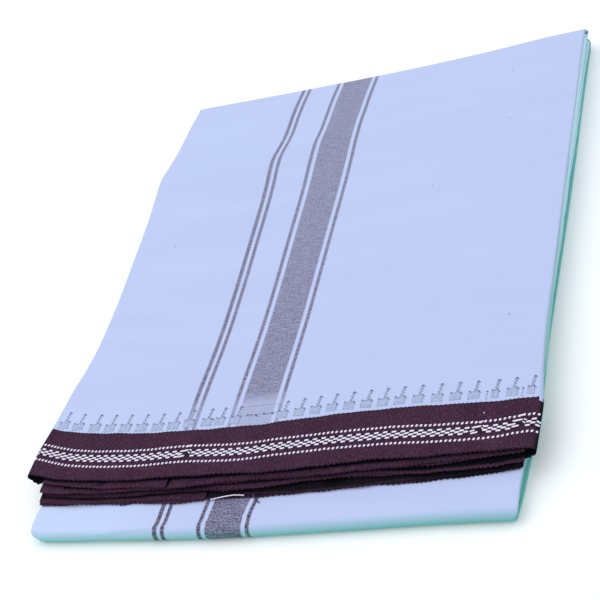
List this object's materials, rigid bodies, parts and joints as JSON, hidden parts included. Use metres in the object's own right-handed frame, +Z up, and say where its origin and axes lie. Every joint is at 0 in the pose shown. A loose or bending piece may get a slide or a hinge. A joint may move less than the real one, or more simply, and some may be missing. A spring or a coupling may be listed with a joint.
{
  "type": "folded dhoti cloth",
  "caption": "White cotton dhoti folded into a flat packet, with grey cross stripes and fanned maroon woven selvedge borders at the front.",
  "frame": {"origin": "middle of the packet's outline, on the surface that it lies on", "axes": "+X along the woven border to the right, +Y from the border towards the back fold, +Z up"},
  "size_m": [0.2599, 0.3354, 0.0209],
  "materials": {
    "white_cotton": "matte bleached plain weave cotton with grey cross stripes",
    "maroon_border": "ribbed maroon cotton border with white woven figures"
  },
  "bodies": {
    "root": {"top_cloth": "white_cotton", "upper_layers": "white_cotton", "lower_layers": "white_cotton", "border_top": "maroon_border", "border_second": "maroon_border", "border_third": "maroon_border", "border_fourth": "maroon_border", "border_lowest_left": "maroon_border", "border_lowest_right": "maroon_border"}
  },
  "joints": []
}
